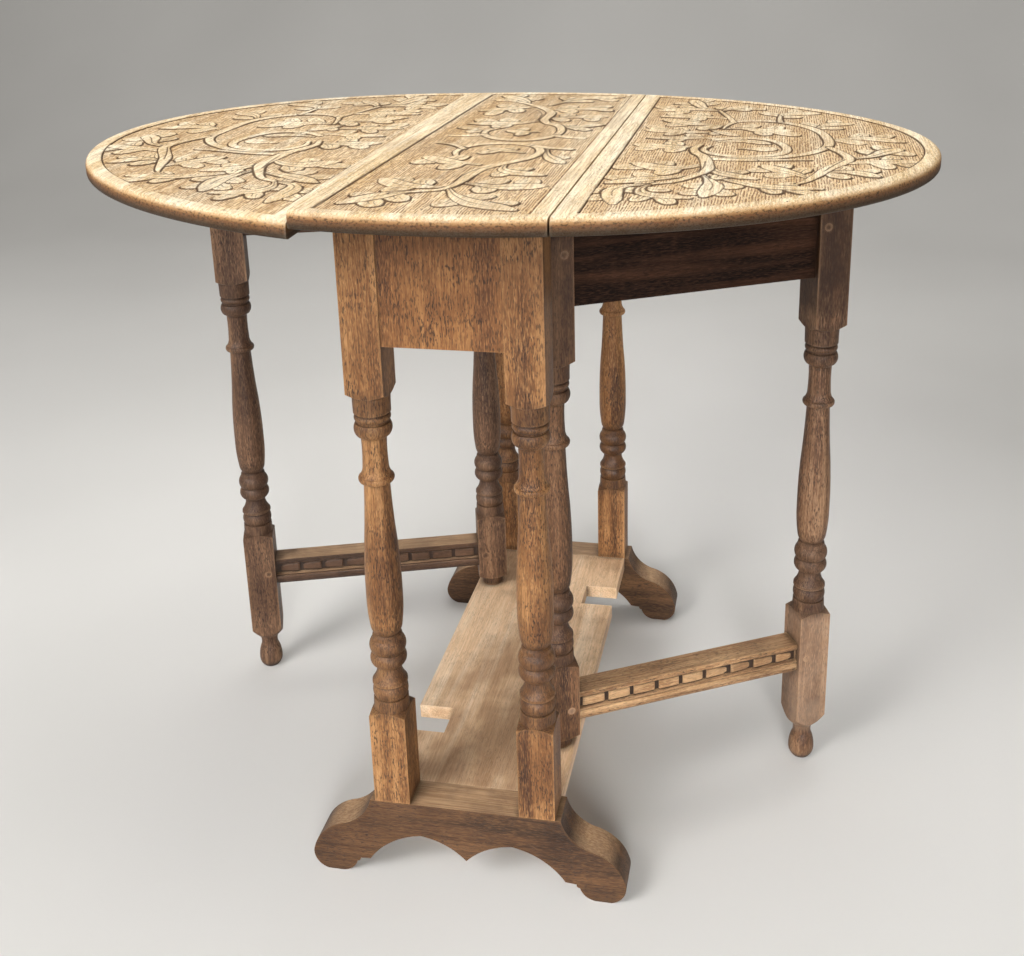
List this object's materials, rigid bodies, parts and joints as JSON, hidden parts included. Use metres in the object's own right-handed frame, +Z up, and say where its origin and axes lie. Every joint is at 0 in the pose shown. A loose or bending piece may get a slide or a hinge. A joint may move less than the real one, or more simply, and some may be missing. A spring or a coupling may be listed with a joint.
{
  "type": "drop-leaf occasional table",
  "caption": "Oak gate-leg occasional table with a carved oval drop-leaf top, turned legs on sledge feet, a low shelf and swinging gates that hold up the leaves.",
  "frame": {"origin": "on the floor under the middle of the oval top", "axes": "+Z up, X across the leaves, Y along the hinge seams, the front end at -Y"},
  "size_m": [0.8719, 0.684, 0.713],
  "materials": {
    "top_oak": "waxed oak, pale golden tan, dirt in the carving",
    "apron_oak": "waxed oak, golden brown",
    "leg_oak": "waxed oak, golden brown, dark in the turnings",
    "foot_oak": "waxed oak, worn brown",
    "shelf_oak": "worn oak, tan with grey patches",
    "left_gate_oak": "waxed oak, greyish brown",
    "right_gate_oak": "waxed oak, golden brown",
    "rail_oak": "dark stained oak",
    "plain_oak": "unpolished oak",
    "hinge_iron": "dark aged iron",
    "screw_steel": "dull aged steel"
  },
  "bodies": {
    "frame": {"centre_top": "top_oak", "corner_blocks": "plain_oak", "front_apron": "apron_oak", "front_foot": "foot_oak", "front_left_leg": "leg_oak", "front_right_leg": "leg_oak", "hinge_fixed_screws": "screw_steel", "left_bearer": "plain_oak", "left_front_hinge_fixed_plate": "hinge_iron", "left_front_hinge_pin": "hinge_iron", "left_rear_hinge_fixed_plate": "hinge_iron", "left_rear_hinge_pin": "hinge_iron", "rear_apron": "apron_oak", "rear_foot": "foot_oak", "rear_left_leg": "leg_oak", "rear_right_leg": "leg_oak", "right_bearer": "plain_oak", "right_front_hinge_fixed_plate": "hinge_iron", "right_front_hinge_pin": "hinge_iron", "right_rear_hinge_fixed_plate": "hinge_iron", "right_rear_hinge_pin": "hinge_iron", "shelf": "shelf_oak", "shelf_dowels": "plain_oak", "top_screws": "screw_steel"},
    "right_gate": {"right_gate_lower_pivot_dowel": "right_gate_oak", "right_gate_outer_leg": "right_gate_oak", "right_gate_pegs": "right_gate_oak", "right_gate_pivot_post": "right_gate_oak", "right_gate_stretcher": "right_gate_oak", "right_gate_top_rail": "rail_oak", "right_gate_upper_pivot_dowel": "right_gate_oak"},
    "left_gate": {"left_gate_lower_pivot_dowel": "left_gate_oak", "left_gate_outer_leg": "left_gate_oak", "left_gate_pegs": "left_gate_oak", "left_gate_pivot_post": "left_gate_oak", "left_gate_stretcher": "left_gate_oak", "left_gate_top_rail": "rail_oak", "left_gate_upper_pivot_dowel": "left_gate_oak"},
    "right_leaf": {"right_front_hinge_leaf_plate": "hinge_iron", "right_leaf": "top_oak", "right_leaf_pad": "plain_oak", "right_leaf_screws": "screw_steel", "right_rear_hinge_leaf_plate": "hinge_iron"},
    "left_leaf": {"left_front_hinge_leaf_plate": "hinge_iron", "left_leaf": "top_oak", "left_leaf_pad": "plain_oak", "left_leaf_screws": "screw_steel", "left_rear_hinge_leaf_plate": "hinge_iron"}
  },
  "joints": [
    {"name": "right_gate_swing", "type": "hinge", "parent": "frame", "child": "right_gate", "pos_m": [0.0735, -0.155, 0], "axis": [0, 0, 1], "range_deg": [-28.8, 61.2]},
    {"name": "left_gate_swing", "type": "hinge", "parent": "frame", "child": "left_gate", "pos_m": [-0.0735, 0.155, 0], "axis": [0, 0, 1], "range_deg": [-18.8, 71.2]},
    {"name": "right_leaf_hinge", "type": "hinge", "parent": "frame", "child": "right_leaf", "pos_m": [0.108, 0, 0.6907], "axis": [0, -1, 0], "range_deg": [0, 2.5]},
    {"name": "left_leaf_hinge", "type": "hinge", "parent": "frame", "child": "left_leaf", "pos_m": [-0.108, 0, 0.68308], "axis": [0, 1, 0], "range_deg": [0, 2.5]}
  ]
}
